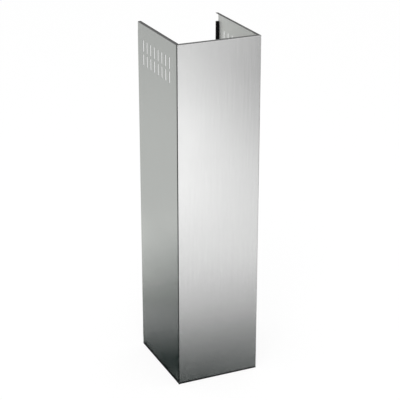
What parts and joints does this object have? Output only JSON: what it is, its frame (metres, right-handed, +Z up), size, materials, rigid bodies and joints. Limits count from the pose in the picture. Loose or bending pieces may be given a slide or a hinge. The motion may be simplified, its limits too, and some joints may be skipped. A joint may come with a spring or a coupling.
{
  "type": "cooker hood chimney section",
  "caption": "Tall U-shaped stainless steel chimney section for a cooker hood, open at the back and ends, with vent slots near the top of both sides and black guide strips in the rear folds.",
  "frame": {"origin": "middle of the footprint, on the plane that the bottom edge stands on", "axes": "+Z up along the chimney, front face towards -Y, open back towards +Y, width along X"},
  "size_m": [0.245, 0.275, 1],
  "materials": {
    "brushed_stainless": "fine brushed stainless steel, satin",
    "black_strip": "matt black extruded plastic"
  },
  "bodies": {
    "root": {"chimney_sheet": "brushed_stainless", "left_guide_strip": "black_strip", "right_guide_strip": "black_strip"}
  },
  "joints": []
}
